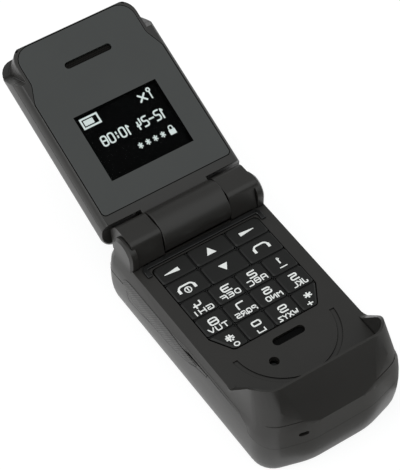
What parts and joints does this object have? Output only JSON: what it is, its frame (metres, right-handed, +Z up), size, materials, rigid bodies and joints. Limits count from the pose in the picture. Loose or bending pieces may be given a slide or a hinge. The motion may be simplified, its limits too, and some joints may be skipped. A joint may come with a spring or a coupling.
{
  "type": "flip phone",
  "caption": "Miniature folding mobile phone lying open on its back: keypad base with a rimmed chin, and a hinged lid with a display and earpiece.",
  "frame": {"origin": "middle of the flat back that the phone rests on", "axes": "+X across the phone, +Y from the chin to the hinge, +Z up, away from the back"},
  "size_m": [0.026, 0.0761, 0.0257],
  "materials": {
    "casing_abs": "satin moulded ABS, fine spark texture",
    "cover_abs": "satin moulded ABS",
    "plate_abs": "satin moulded plate",
    "grip_rubber": "knurled soft-touch strip",
    "key_abs": "matte moulded key cap with printed legend",
    "window": "gloss black window",
    "display": "display panel",
    "board": "solder-resist coated circuit board",
    "flex": "polyimide flexible circuit",
    "steel": "pressed and turned steel",
    "gold": "gold-plated can",
    "silicone": "moulded silicone mat",
    "black_plastic": "black moulded plastic",
    "carrier": "pale moulded carrier",
    "cell": "wrapped battery pouch"
  },
  "bodies": {
    "base": {"front_casing": "casing_abs", "rear_casing": "casing_abs", "battery_cover": "cover_abs", "battery": "cell", "battery_connector": "black_plastic", "main_board": "board", "shield_can": "steel", "sim_holder": "steel", "key_domes": "steel", "key_mat": "silicone", "microphone": "gold", "reset_switch": "steel", "hall_sensor": "black_plastic", "charging_port": "steel", "vibration_motor": "steel", "antenna_carrier": "carrier", "left_grip": "grip_rubber", "right_grip": "grip_rubber", "casing_screws": "steel", "hinge_shaft": "steel", "hinge_bush": "steel", "base_flex": "flex"},
    "lid": {"lid_inner_casing": "casing_abs", "lid_outer_casing": "casing_abs", "lid_plate": "plate_abs", "display_window": "window", "display_module": "display", "lid_board": "board", "earpiece": "steel", "earpiece_mesh": "black_plastic", "lid_magnet": "steel", "lid_screws": "steel", "hinge_cartridge": "steel", "display_flex": "flex"},
    "button_soft_left": {"key_soft_left": "key_abs"},
    "button_up": {"key_up": "key_abs"},
    "button_soft_right": {"key_soft_right": "key_abs"},
    "button_end": {"key_end": "key_abs"},
    "button_down": {"key_down": "key_abs"},
    "button_call": {"key_call": "key_abs"},
    "button_4": {"key_4": "key_abs"},
    "button_3": {"key_3": "key_abs"},
    "button_2": {"key_2": "key_abs"},
    "button_1": {"key_1": "key_abs"},
    "button_8": {"key_8": "key_abs"},
    "button_7": {"key_7": "key_abs"},
    "button_6": {"key_6": "key_abs"},
    "button_5": {"key_5": "key_abs"},
    "button_hash": {"key_hash": "key_abs"},
    "button_0": {"key_0": "key_abs"},
    "button_9": {"key_9": "key_abs"},
    "button_star": {"key_star": "key_abs"},
    "reset_button": {"reset_plunger": "black_plastic"}
  },
  "joints": [
    {"name": "lid_hinge", "type": "hinge", "parent": "base", "child": "lid", "pos_m": [0, 0.01905, 0.0118], "axis": [1, 0, 0], "range_deg": [0, 158]},
    {"name": "press_soft_left", "type": "slide", "parent": "base", "child": "button_soft_left", "axis": [0, 0, -1], "range_m": [0, 0.00025], "stiffness_N_per_m": 2000},
    {"name": "press_up", "type": "slide", "parent": "base", "child": "button_up", "axis": [0, 0, -1], "range_m": [0, 0.00025], "stiffness_N_per_m": 2000},
    {"name": "press_soft_right", "type": "slide", "parent": "base", "child": "button_soft_right", "axis": [0, 0, -1], "range_m": [0, 0.00025], "stiffness_N_per_m": 2000},
    {"name": "press_end", "type": "slide", "parent": "base", "child": "button_end", "axis": [0, 0, -1], "range_m": [0, 0.00025], "stiffness_N_per_m": 2000},
    {"name": "press_down", "type": "slide", "parent": "base", "child": "button_down", "axis": [0, 0, -1], "range_m": [0, 0.00025], "stiffness_N_per_m": 2000},
    {"name": "press_call", "type": "slide", "parent": "base", "child": "button_call", "axis": [0, 0, -1], "range_m": [0, 0.00025], "stiffness_N_per_m": 2000},
    {"name": "press_4", "type": "slide", "parent": "base", "child": "button_4", "axis": [0, 0, -1], "range_m": [0, 0.00025], "stiffness_N_per_m": 2000},
    {"name": "press_3", "type": "slide", "parent": "base", "child": "button_3", "axis": [0, 0, -1], "range_m": [0, 0.00025], "stiffness_N_per_m": 2000},
    {"name": "press_2", "type": "slide", "parent": "base", "child": "button_2", "axis": [0, 0, -1], "range_m": [0, 0.00025], "stiffness_N_per_m": 2000},
    {"name": "press_1", "type": "slide", "parent": "base", "child": "button_1", "axis": [0, 0, -1], "range_m": [0, 0.00025], "stiffness_N_per_m": 2000},
    {"name": "press_8", "type": "slide", "parent": "base", "child": "button_8", "axis": [0, 0, -1], "range_m": [0, 0.00025], "stiffness_N_per_m": 2000},
    {"name": "press_7", "type": "slide", "parent": "base", "child": "button_7", "axis": [0, 0, -1], "range_m": [0, 0.00025], "stiffness_N_per_m": 2000},
    {"name": "press_6", "type": "slide", "parent": "base", "child": "button_6", "axis": [0, 0, -1], "range_m": [0, 0.00025], "stiffness_N_per_m": 2000},
    {"name": "press_5", "type": "slide", "parent": "base", "child": "button_5", "axis": [0, 0, -1], "range_m": [0, 0.00025], "stiffness_N_per_m": 2000},
    {"name": "press_hash", "type": "slide", "parent": "base", "child": "button_hash", "axis": [0, 0, -1], "range_m": [0, 0.00025], "stiffness_N_per_m": 2000},
    {"name": "press_0", "type": "slide", "parent": "base", "child": "button_0", "axis": [0, 0, -1], "range_m": [0, 0.00025], "stiffness_N_per_m": 2000},
    {"name": "press_9", "type": "slide", "parent": "base", "child": "button_9", "axis": [0, 0, -1], "range_m": [0, 0.00025], "stiffness_N_per_m": 2000},
    {"name": "press_star", "type": "slide", "parent": "base", "child": "button_star", "axis": [0, 0, -1], "range_m": [0, 0.00025], "stiffness_N_per_m": 2000},
    {"name": "press_reset", "type": "slide", "parent": "base", "child": "reset_button", "axis": [0, 0, -1], "range_m": [0, 0.0002], "stiffness_N_per_m": 2000}
  ]
}
